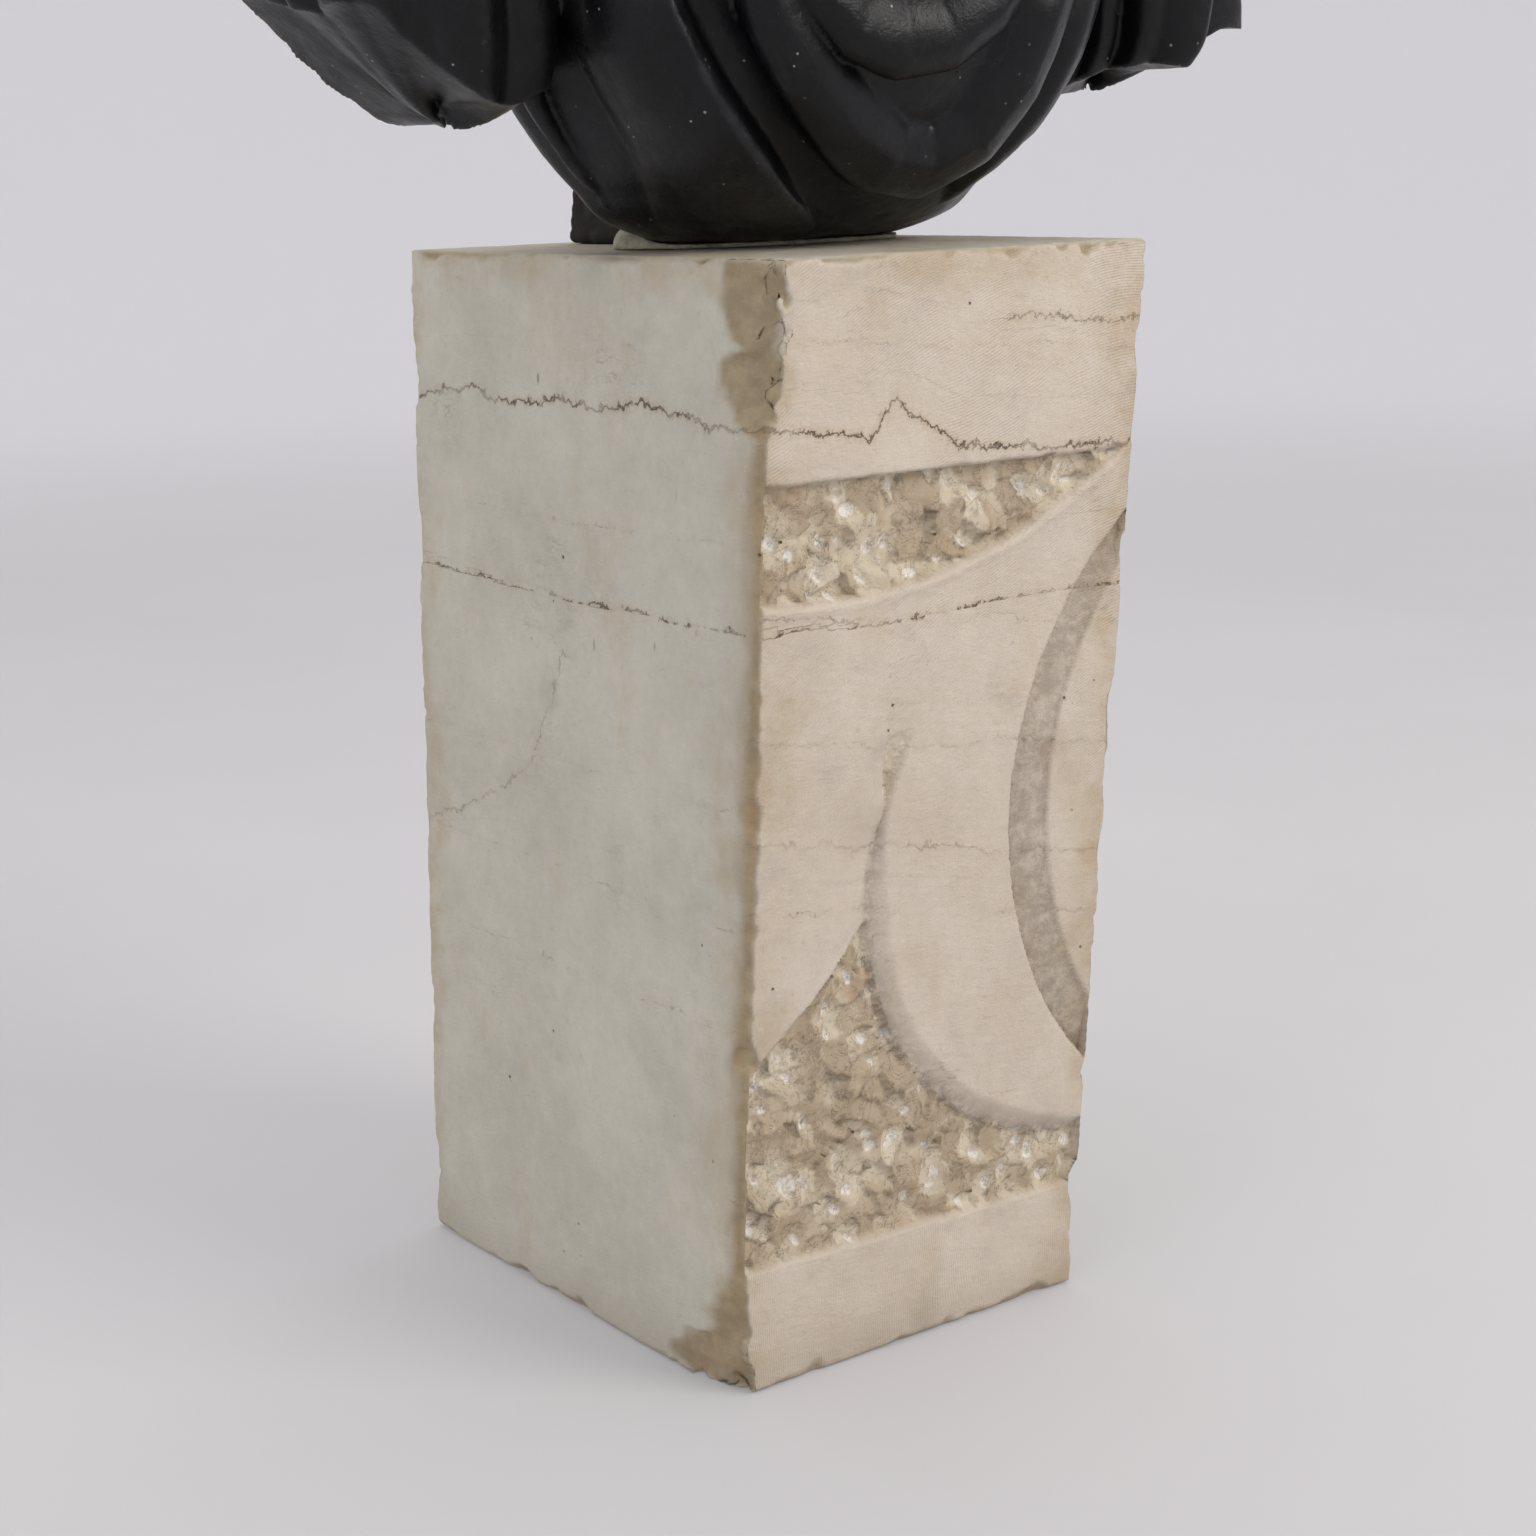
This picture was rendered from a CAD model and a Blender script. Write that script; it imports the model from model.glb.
import math

import bpy
import numpy as np
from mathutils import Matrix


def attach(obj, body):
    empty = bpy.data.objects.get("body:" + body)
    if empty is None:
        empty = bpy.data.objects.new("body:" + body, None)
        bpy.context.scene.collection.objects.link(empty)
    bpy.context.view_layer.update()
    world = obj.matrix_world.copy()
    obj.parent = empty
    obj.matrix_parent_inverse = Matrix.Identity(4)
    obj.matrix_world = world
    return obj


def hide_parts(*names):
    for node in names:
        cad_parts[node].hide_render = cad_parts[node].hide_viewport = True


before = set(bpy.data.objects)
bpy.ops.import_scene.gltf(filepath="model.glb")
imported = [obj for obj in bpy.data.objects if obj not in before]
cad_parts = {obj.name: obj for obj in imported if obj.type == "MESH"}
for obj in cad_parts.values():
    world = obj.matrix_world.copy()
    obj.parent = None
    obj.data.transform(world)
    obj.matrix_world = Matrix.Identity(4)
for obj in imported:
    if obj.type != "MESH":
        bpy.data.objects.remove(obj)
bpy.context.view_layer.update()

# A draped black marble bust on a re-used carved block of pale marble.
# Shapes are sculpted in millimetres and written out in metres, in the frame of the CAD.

import openvdb
from mathutils import Matrix, Vector

MM = 0.001


# ------------------------------------------------------------------ noise and curves

def lattice(ix, iy, iz, seed):
    """A steady random number from 0 to 1 for each whole-number point."""
    h = ix.astype(np.int64) * 73856093 ^ iy.astype(np.int64) * 19349663 ^ iz.astype(np.int64) * 83492791
    h = (h ^ (seed * 2654435761)) & 0xFFFFFFFF
    h = (h ^ (h >> 15)) * 2246822519 & 0xFFFFFFFF
    h = (h ^ (h >> 13)) * 3266489917 & 0xFFFFFFFF
    return ((h ^ (h >> 16)) & 0xFFFFFF) / 0xFFFFFF


def noise(p, size, seed=0):
    """Smooth noise from -1 to 1 whose lumps are about size across."""
    q = p / size
    base = np.floor(q)
    t = q - base
    t = t * t * t * (t * (6 * t - 15) + 10)
    i = base.astype(np.int64)
    total = np.zeros(len(p))
    for dx in (0, 1):
        wx = t[:, 0] if dx else 1 - t[:, 0]
        for dy in (0, 1):
            wy = t[:, 1] if dy else 1 - t[:, 1]
            for dz in (0, 1):
                wz = t[:, 2] if dz else 1 - t[:, 2]
                total += wx * wy * wz * lattice(i[:, 0] + dx, i[:, 1] + dy, i[:, 2] + dz, seed)
    return total * 2 - 1


def fbm(p, size, octaves, seed=0):
    total = np.zeros(len(p))
    weight = 1.0
    for k in range(octaves):
        total += weight * noise(p, size, seed + 17 * k)
        size *= 0.47
        weight *= 0.52
    return total / 1.6


def smooth(a, b, x):
    t = np.clip((x - a) / (b - a), 0, 1)
    return t * t * (3 - 2 * t)


def table(xs, ys):
    """A smooth curve through points, as a function."""
    xs = np.array(xs, float)
    ys = np.array(ys, float)
    slope = np.gradient(ys, xs)
    fine = np.linspace(xs[0], xs[-1], 400)
    k = np.clip(np.searchsorted(xs, fine) - 1, 0, len(xs) - 2)
    h = xs[k + 1] - xs[k]
    t = (fine - xs[k]) / h
    out = (
        (2 * t**3 - 3 * t**2 + 1) * ys[k]
        + (t**3 - 2 * t**2 + t) * h * slope[k]
        + (3 * t**2 - 2 * t**3) * ys[k + 1]
        + (t**3 - t**2) * h * slope[k + 1]
    )
    return lambda x: np.interp(x, fine, out)


def marks(p, slope, wander, size, seed, pitch):
    """Tool marks from -1 to 1, a pitch apart, that wander a little."""
    return np.sin((p[:, 2] + slope * p[:, 0] + wander * noise(p, size, seed)) * 2 * np.pi / pitch)


def pits(u, v, size, seed):
    """For points scattered about size apart: how far off the nearest and the second are, as shares of size,
    with the nearest one's random value and the slope of its floor."""
    best = np.full(len(u), 9.0)
    second = np.full(len(u), 9.0)
    value = np.zeros(len(u))
    lean = np.zeros(len(u))
    iu, iv = np.floor(u / size), np.floor(v / size)
    zero = np.zeros(len(u))
    for du in (-1, 0, 1):
        for dv in (-1, 0, 1):
            cu, cv = iu + du, iv + dv
            pu = cu + 0.5 + 0.45 * (2 * lattice(cu, cv, zero, seed) - 1)
            pv = cv + 0.5 + 0.45 * (2 * lattice(cu, cv, zero, seed + 1) - 1)
            off_u, off_v = u / size - pu, v / size - pv
            d = np.hypot(off_u, off_v * 0.8)
            nearer = d < best
            second = np.where(nearer, best, np.minimum(second, d))
            best = np.where(nearer, d, best)
            value = np.where(nearer, lattice(cu, cv, zero, seed + 2), value)
            way = lattice(cu, cv, zero, seed + 3) * 6.283
            lean = np.where(nearer, off_u * np.cos(way) + off_v * np.sin(way), lean)
    return best, second, value, lean


# ------------------------------------------------------------------ signed shapes, in millimetres

def ell(p, centre, radii, turn=None):
    q = p - np.array(centre, float)
    if turn is not None:
        q = q @ turn
    r = np.array(radii, float)
    k0 = np.linalg.norm(q / r, axis=1)
    k1 = np.linalg.norm(q / r**2, axis=1) + 1e-9
    return k0 * (k0 - 1) / k1


def capsule(p, a, b, ra, rb):
    a, b = np.array(a, float), np.array(b, float)
    ab = b - a
    t = np.clip(((p - a) @ ab) / (ab @ ab), 0, 1)
    return np.linalg.norm(p - a - t[:, None] * ab, axis=1) - (ra + (rb - ra) * t)


def join(a, b, k):
    h = np.clip(0.5 + 0.5 * (b - a) / k, 0, 1)
    return b + (a - b) * h - k * h * (1 - h)


def cut(a, b, k):
    return -join(-a, b, k)


def rounded(gaps, r):
    """A solid that lies inside every gap, with its edges rounded."""
    q = np.stack(gaps, axis=1) + r
    return np.linalg.norm(np.maximum(q, 0), axis=1) + np.minimum(q.max(axis=1), 0) - r


def turned(x=0, y=0, z=0):
    m = Matrix.Rotation(math.radians(z), 3, "Z") @ Matrix.Rotation(math.radians(y), 3, "Y")
    return np.array(m @ Matrix.Rotation(math.radians(x), 3, "X"))


def ridge_height(p, points, widths, heights, skew=1.0, outward=(0, -1, 0), power=1.8, strands=0.0):
    """How high a tapering ridge along points stands above each p. With skew above 1 it rises gently on the
    left of its run, seen from outside, and falls steeply on the right."""
    points = np.array(points, float)
    n = len(points)
    widths = np.interp(np.linspace(0, 1, n), np.linspace(0, 1, len(widths)), widths)
    heights = np.interp(np.linspace(0, 1, n), np.linspace(0, 1, len(heights)), heights)
    out = np.zeros(len(p))
    reach = widths.max() * max(skew, 1 / skew)
    low, high = points.min(0) - reach, points.max(0) + reach
    near = np.nonzero(np.all((p > low) & (p < high), axis=1))[0]
    if not len(near):
        return out
    q = p[near]
    closest = np.full(len(q), 1e9)
    side = np.zeros(len(q))
    w = np.ones(len(q))
    h = np.zeros(len(q))
    for k in range(n - 1):
        a, ab = points[k], points[k + 1] - points[k]
        t = np.clip(((q - a) @ ab) / (ab @ ab + 1e-9), 0, 1)
        d = np.linalg.norm(q - a - t[:, None] * ab, axis=1)
        nearer = d < closest
        closest = np.where(nearer, d, closest)
        w = np.where(nearer, widths[k] + (widths[k + 1] - widths[k]) * t, w)
        h = np.where(nearer, heights[k] + (heights[k + 1] - heights[k]) * t, h)
        left = np.cross(outward, ab)
        side = np.where(nearer, (q - a) @ left / (np.linalg.norm(left) + 1e-9), side)
    lean = np.clip(side / np.maximum(w * 0.25, 1e-6), -1, 1)
    w = w * np.exp(lean * math.log(skew))
    t = np.minimum(closest / w, 1)
    shape = 1 - t ** power
    if strands:
        shape = shape * (1 - strands * (0.5 - 0.5 * np.cos(t * np.sign(side) * 3 * np.pi)))
    out[near] = h * shape
    return out


def spline(points, count=24):
    """A smooth line through control points."""
    points = np.array(points, float)
    s = np.concatenate([[0], np.cumsum(np.linalg.norm(np.diff(points, axis=0), axis=1))])
    at = np.linspace(0, s[-1], count)
    return np.stack([table(s, points[:, k])(at) for k in range(points.shape[1])], axis=1)


# ------------------------------------------------------------------ meshes

def mesh_object(name, verts, faces, body, values=None):
    """Makes a smooth-shaded mesh from points in millimetres, with named values at its points."""
    mesh = bpy.data.meshes.new(name)
    verts = np.asarray(verts, np.float32) * MM
    faces = np.asarray(faces, np.int32)
    count, corners = faces.shape
    mesh.vertices.add(len(verts))
    mesh.vertices.foreach_set("co", verts.ravel())
    mesh.loops.add(count * corners)
    mesh.loops.foreach_set("vertex_index", faces.ravel())
    mesh.polygons.add(count)
    mesh.polygons.foreach_set("loop_start", np.arange(0, count * corners, corners, dtype=np.int32))
    mesh.update(calc_edges=True)
    mesh.validate()
    mesh.shade_smooth()
    for key, value in (values or {}).items():
        layer = mesh.attributes.new(key, "FLOAT", "POINT")
        layer.data.foreach_set("value", np.asarray(value, np.float32))
    obj = bpy.data.objects.new(name, mesh)
    bpy.context.scene.collection.objects.link(obj)
    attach(obj, body)
    return obj


def normals(verts, faces):
    a = verts[faces[:, 2]] - verts[faces[:, 0]]
    b = verts[faces[:, -1]] - verts[faces[:, 1]]
    n = np.cross(a, b)
    total = np.stack(
        [
            sum(np.bincount(faces[:, k], n[:, axis], len(verts)) for k in range(faces.shape[1]))
            for axis in range(3)
        ],
        axis=1,
    )
    return total / (np.linalg.norm(total, axis=1, keepdims=True) + 1e-12)


def spread(values, faces, rounds):
    """Averages point values with their neighbours'."""
    n = len(values)
    for _ in range(rounds):
        face_mean = values[faces].mean(axis=1)
        total = sum(np.bincount(faces[:, k], face_mean, n) for k in range(faces.shape[1]))
        count = sum(np.bincount(faces[:, k], minlength=n) for k in range(faces.shape[1]))
        values = total / np.maximum(count, 1)
    return values


def bulge(verts, faces, rounds=6):
    """How far each point stands above its surroundings, in millimetres: ridges above 0, hollows below."""
    away = np.stack([verts[:, k] - spread(verts[:, k], faces, rounds) for k in range(3)], axis=1)
    return np.sum(away * normals(verts, faces), axis=1)


def gradient(field, p, e):
    out = np.empty_like(p)
    for k in range(3):
        step = np.zeros(3)
        step[k] = e
        out[:, k] = (field(p + step) - field(p - step)) / (2 * e)
    return out


def settle(field, verts, voxel, rounds=2, close=0.04):
    """Moves points on to the surface where the field is zero."""
    verts = verts.copy()
    for _ in range(rounds):
        f = field(verts)
        away = np.nonzero(np.abs(f) > close)[0]
        g = gradient(field, verts[away], voxel * 0.4)
        step = (f[away] / (np.sum(g * g, axis=1) + 1e-6))[:, None] * g
        size = np.linalg.norm(step, axis=1, keepdims=True)
        verts[away] -= step * np.minimum(1, voxel / (size + 1e-9))
    return verts


def sculpt(field, low, high, voxel):
    """The surface of a signed field as points and four-sided faces."""
    ratio = 4
    low, high = np.array(low, float), np.array(high, float)
    big = voxel * ratio
    n = np.ceil((high - low) / big).astype(int) + 1
    axes = [low[k] + big * np.arange(n[k]) for k in range(3)]
    grid = np.stack(np.meshgrid(*axes, indexing="ij"), axis=-1).reshape(-1, 3)
    f = field(grid).reshape(n)
    steep = np.sqrt(sum(g**2 for g in np.gradient(f, big)))
    near = np.abs(f) < big * 1.5 * np.maximum(1, steep)
    m = (n - 1) * ratio + 1
    pick = [np.clip(np.round(np.arange(m[k]) / ratio).astype(int), 0, n[k] - 1) for k in range(3)]
    dense = f[np.ix_(*pick)]
    close = np.argwhere(near[np.ix_(*pick)])
    dense[tuple(close.T)] = field(low + close * voxel)
    volume = openvdb.FloatGrid(float(big * 4))
    volume.copyFromArray(dense.astype(np.float32))
    points, quads = volume.convertToQuads(isovalue=0.0)
    verts = points.astype(float) * voxel + low
    faces = quads.astype(np.int64)
    a, b, c, d = (verts[faces[:, k]] for k in range(4))
    if np.sum(a * np.cross(b, c)) + np.sum(a * np.cross(c, d)) < 0:
        faces = faces[:, ::-1]
    return settle(field, verts, voxel, 1), faces


def box_shell(nx, ny, nz):
    """The skin of a box as points from 0 to 1 and four-sided faces that share their edges."""
    sizes = (nx, ny, nz)
    keys, quads = [], []
    for axis in range(3):
        u, v = [k for k in range(3) if k != axis]
        for side in (0, sizes[axis]):
            gu, gv = np.meshgrid(np.arange(sizes[u] + 1), np.arange(sizes[v] + 1), indexing="ij")
            point = np.zeros(gu.shape + (3,), np.int64)
            point[..., axis] = side
            point[..., u] = gu
            point[..., v] = gv
            key = (point[..., 0] * 10000 + point[..., 1]) * 10000 + point[..., 2]
            quad = np.stack(
                [key[:-1, :-1], key[1:, :-1], key[1:, 1:], key[:-1, 1:]], axis=-1,
            ).reshape(-1, 4)
            outward = (axis != 1) == (side > 0)
            quads.append(quad if outward else quad[:, ::-1])
            keys.append(key.ravel())
    unique = np.unique(np.concatenate(keys))
    faces = np.searchsorted(unique, np.concatenate(quads))
    points = np.stack([unique // 10**8, unique // 10**4 % 10**4, unique % 10**4], axis=1)
    return points / np.array(sizes, float), faces


# ------------------------------------------------------------------ places shared with the CAD

BLOCK_HEIGHT = 580.0
LEAN = np.array([28.0, -8.5])
FOOT = np.array([228.0, 292.0])
HEAD = np.array([238.0, 315.0])
SKEW = np.array([-14.0, -9.0])
BUST = np.array([38.0, -10.0, 583.0])
# From here on in the bust's own frame, whose origin is under the chest and just above the block.
BED = -2.6
COLLAR = 402.0
DOWEL_Y = -6.0
DOWEL_TOP = 55.0
BORE = 11.6
NECK_Y = 4.0
TENON_DEPTH = 66.0
TENON_FOOT = 52.0
TENON_FLARE = 16.0 / TENON_DEPTH
PILLAR_HEIGHT = 268.0
PILLAR_HALF = (50.0, 34.0)
PILLAR_BACK = (134.0, 96.0)
PILLAR_FRONT = 10.0
SCOOP = np.array([0.0, 100.0, 165.0])
SCOOP_HALF = np.array([125.0, 150.0, 140.0])


def block_size(t):
    """The block's width and depth at a share of its height."""
    return FOOT[0] + (HEAD[0] - FOOT[0]) * t, FOOT[1] + (HEAD[1] - FOOT[1]) * t


def block_sides(p):
    """Distances outside the block's left, right, front, back, top and bottom faces."""
    t = p[:, 2] / BLOCK_HEIGHT
    cx, cy = LEAN[0] * t, LEAN[1] * t
    w, d = block_size(t)
    dx, dy = p[:, 0] - cx, p[:, 1] - cy
    out = []
    for s in (-1, 1):
        face = s * w / 2 + SKEW[0] / d * (dy - s * SKEW[1] / 2)
        out.append(s * (dx - face))
    for s in (-1, 1):
        face = s * d / 2 + SKEW[1] / w * (dx - s * SKEW[0] / 2)
        out.append(s * (dy - face))
    return out + [p[:, 2] - BLOCK_HEIGHT, -p[:, 2]]


# ------------------------------------------------------------------ the block

# Where the near edge is broken away: height, reach along the side, reach along the front.
NEAR_EDGE = np.array([
    (-5, 55, 15), (11, 48, 10), (60, 12, 5), (84, 2, 2), (165, 3, 3), (184, 11, 8), (204, 3, 3),
    (244, 3, 2), (254, 9, 5), (266, 2, 2), (300, 3, 2), (313, 10, 7), (327, 4, 3), (395, 3, 2),
    (402, 1, 1), (455, 1, 1), (463, 4, 3), (495, 6, 4), (506, 26, 9), (545, 32, 11), (585, 35, 13),
], float)


def edge_cut(da, db, a, b):
    """A bevel between two faces that takes a off the first and b off the second."""
    return (a * da + b * db + a * b) / np.hypot(a, b)


def near_reach(p, column, least, size, seed):
    """How far the broken near edge reaches along one of its two faces."""
    reach = np.interp(p[:, 2], NEAR_EDGE[:, 0], NEAR_EDGE[:, column])
    return np.maximum(reach, least) * (1 + 0.40 * noise(p, size, seed))


def block_body(p):
    """The block with its broken edges, and how deep the breaks cut into it."""
    left, right, front, back, top, bottom = block_sides(p)
    f = rounded([np.maximum(left, right), np.maximum(front, back), np.maximum(top, bottom)], 1.6)
    rough = 0.6 * fbm(p, 17, 3, 5)
    z = p[:, 2]
    side = near_reach(p, 1, 6, 11, 3) + 0.8
    face = near_reach(p, 2, 3.5, 7, 4) + 0.6
    cuts = [edge_cut(left, front, side, face) + 0.9 * rough]
    flake = np.maximum(0, noise(p * np.array([0.2, 0.2, 1]), 21, 11) - 0.15)
    for k, (a, b) in enumerate(((right, front), (left, back), (right, back))):
        low = smooth(170, 20, z) if k == 0 else 0.4
        size = 1.4 + 13 * flake * (0.35 + low) + 1.5 * np.maximum(0, noise(p, 6, 20 + k))
        cuts.append(edge_cut(a, b, size, size * 1.2) + 0.7 * rough)
    speck = np.maximum(0, noise(p, 8, 31)) + np.maximum(0, noise(p, 19, 32)) * 1.4
    for a, much in ((front, 3.2), (left, 2.6), (right, 2), (back, 3)):
        size = 1.2 + much * speck
        cuts.append(edge_cut(top, a, size, size * 1.3) + 0.5 * rough)
    for a in (left, right, front, back):
        size = 1.5 + 2.4 * speck
        cuts.append(edge_cut(bottom, a, size, size * 1.6) + 0.5 * rough)
    broken = np.max(cuts, axis=0)
    return np.maximum(f, broken), np.maximum(0, broken - f)


# The relief on the front: a ring round a disc, over two sunk grounds.
RING_TOP = (-46.0, 734.0, 320.0)
GROOVE = (280.0, 280.0, 210.0)
DISC = (302.5, 283.0, 207.0)
RING_FOOT = (134.0, 250.0, 156.0)
TOP_BAND = 474.0
LEAF = table([-125, -87, -57, -32, -17, -8], [158, 185, 211, 236, 258, 300])


def circle_distance(x, z, circle):
    return np.hypot(x - circle[0], z - circle[1]) - circle[2]


def pointing(p):
    """The pits of a pointed ground: depths, deepest pokes, cracks between them, lightness of facets."""
    x, z = p[:, 0], p[:, 2]
    bend = 4 * noise(p, 20, 44) + 1.5 * noise(p, 6, 45)
    near1, next1, value1, lean1 = pits(x + bend + 0.2 * z, z + bend, 15.5, 50)
    near2, next2, value2, lean2 = pits(x - bend, z + 0.7 * bend, 8.0, 60)
    scoop = (0.75 - near1) * 2.6 * (0.4 + value1) + 4.6 * lean1
    scoop += 0.22 * ((0.7 - near2) * 2.0 * value2 + 2.4 * lean2)
    poke = smooth(0.25, 0.08, near1) * smooth(0.35, 0.5, value1)
    crack = smooth(0.10, 0.02, next1 - near1) * smooth(0.1, 0.5, noise(p, 9, 63))
    crack = np.maximum(crack, 0.8 * smooth(0.12, 0.03, next2 - near2) * smooth(0.25, 0.6, noise(p, 11, 64)))
    return scoop, poke, crack, np.clip(0.5 + 0.9 * (value1 - 0.5) + 0.5 * lean1, 0, 1)


def relief(x, z):
    """Depth of the carving at each place on the front, with the parts of it that are rough and dirty."""
    p = np.stack([x, np.zeros(len(x)), z], axis=1)
    wander = 0.9 * noise(p, 16, 40) + 0.45 * noise(p, 5, 41)
    # The upper ground lies between the top band and the ring's outer edge.
    to_band = z - TOP_BAND + wander * 0.5
    to_arc = circle_distance(x, z, RING_TOP) + wander
    upper = smooth(0.8, -0.8, to_band) * smooth(1.0, -2.2, to_arc)
    # The ring's foot slopes down to the lower ground.
    angle = np.degrees(np.arctan2(z - RING_FOOT[1], x - RING_FOOT[0])) % 360
    width = 11 * smooth(156, 182, angle) * smooth(286, 245, angle) + 1.5
    out = circle_distance(x, z, RING_FOOT) + wander * 0.6
    on_ring_side = smooth(140, 158, angle)
    slope = np.clip((out + width) / width, 0, 1) * on_ring_side
    below_leaf = smooth(1.4, -1.4, z - LEAF(x) + wander)
    beyond = smooth(-0.8, 0.8, out) * on_ring_side
    floor_z = 70 - (x + 105) * 0.031 + wander * 0.4
    above_floor = smooth(-1.0, 1.0, z - floor_z)
    right_part = smooth(-16, -8, x)
    lower = beyond * above_floor * np.maximum(below_leaf, right_part)
    leaf_rim = beyond * (1 - below_leaf) * (1 - right_part) * smooth(34, 0, out) * smooth(312, 280, z)
    # The bevel round the disc: steep on the ring's side, rising gently to the disc.
    inner = circle_distance(x, z, DISC)
    outer = circle_distance(x, z, GROOVE) + wander * 0.4
    share = np.clip(inner / np.maximum(inner - outer, 0.5), 0, 1)
    band = smooth(0.8, -0.8, outer) * smooth(-0.6, 0.6, inner)
    bevel = band * (0.22 + 0.78 * share)
    ground = np.maximum(upper, lower)
    scoop, poke, crack, facet = pointing(p)
    taper = smooth(132, 60, x)
    depth = upper * (4.4 + 1.6 * taper) + lower * 5.6
    depth = np.maximum(depth, slope * (1 - lower) * 5.8 * smooth(1.5, -1.5, out))
    depth = np.maximum(depth, leaf_rim * 4.2)
    depth = np.maximum(depth, bevel * 7.2)
    depth += ground * (scoop + 1.4 * poke - 0.4 + 0.5 * fbm(p, 7, 3, 70))
    # Shallow dressing marks on the faces that were left smooth.
    smooth_face = 1 - ground
    rasp = marks(p, 0.22, 2.5, 30, 80, 5.5)
    depth += smooth_face * (0.06 * rasp + 0.55 * noise(p, 42, 81) + 0.22 * noise(p, 11, 82))
    lip = np.exp(-((to_arc - 3.2) / 2.2) ** 2) * smooth(8, -2, to_band) * 0.8
    depth -= lip * smooth(30, 20, np.abs(to_arc))
    edge_dirt = np.exp(-((outer + 1.6) / 1.8) ** 2) * smooth(1.5, -0.5, outer) * smooth(-1, 1, inner)
    foot_dirt = np.exp(-(out / 2.2) ** 2) * on_ring_side * smooth(312, 285, z) * above_floor
    band_dirt = np.exp(-(to_band / 1.0) ** 2) * smooth(20, -20, to_arc)
    slope_dirt = slope * (1 - lower) * smooth(3, -3, out)
    broken = 0.45 + 0.55 * smooth(-0.3, 0.3, noise(p, 12, 65))
    dirt = (0.8 * edge_dirt + 0.6 * foot_dirt + 0.5 * band_dirt) * broken
    dirt = np.clip(np.maximum(dirt, ground * 0.85 * crack) + 0.55 * slope_dirt + 0.52 * band, 0, 1)
    return depth, dirt, ground, ground * poke, facet


def line_distance(u, v, points):
    """Signed distance to a line, above 0 on the upper side."""
    best = np.full(len(u), 99.0)
    for (u0, v0), (u1, v1) in zip(points[:-1], points[1:]):
        du, dv = u1 - u0, v1 - v0
        t = np.clip(((u - u0) * du + (v - v0) * dv) / (du * du + dv * dv), 0, 1)
        away_u, away_v = u - u0 - t * du, v - v0 - t * dv
        d = np.hypot(away_u, away_v) * np.sign(away_v + 1e-9)
        best = np.where(np.abs(d) < np.abs(best), d, best)
    return best


FRONT_VEINS = [
    ([(-95, 502), (-24, 494), (-7, 511), (10, 497), (31, 483), (91, 479), (150, 478)], 0.0),
    ([(62, 546), (108, 542), (155, 540)], 0.9),
    ([(-90, 541), (-6, 537), (152, 526)], 1.6),
    ([(-92, 411), (-5, 402), (152, 381)], 1.5),
    ([(-93, 372), (61, 349), (150, 337)], 1.7),
    ([(-93, 351), (150, 314)], 1.4),
    ([(-93, 297), (-3, 283), (143, 252)], 1.3),
    ([(-94, 265), (137, 221)], 1.6),
    ([(-60, 176), (20, 190), (90, 182)], 1.9),
    ([(-104, 128), (-20, 121), (120, 133)], 1.8),
]
SIDE_VEINS = [
    ([(160, 500), (120, 507), (63, 503), (20, 506), (-29, 502), (-70, 507), (-96, 503), (-150, 500)], 0.0),
    ([(157, 251), (91, 277), (60, 292), (40, 309), (22, 340), (7, 373)], 1.2),
    ([(150, 560), (40, 572)], 1.7),
    ([(155, 180), (30, 196), (-150, 205)], 2.2),
    ([(155, 420), (-20, 398), (-150, 402)], 2.3),
]


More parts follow.
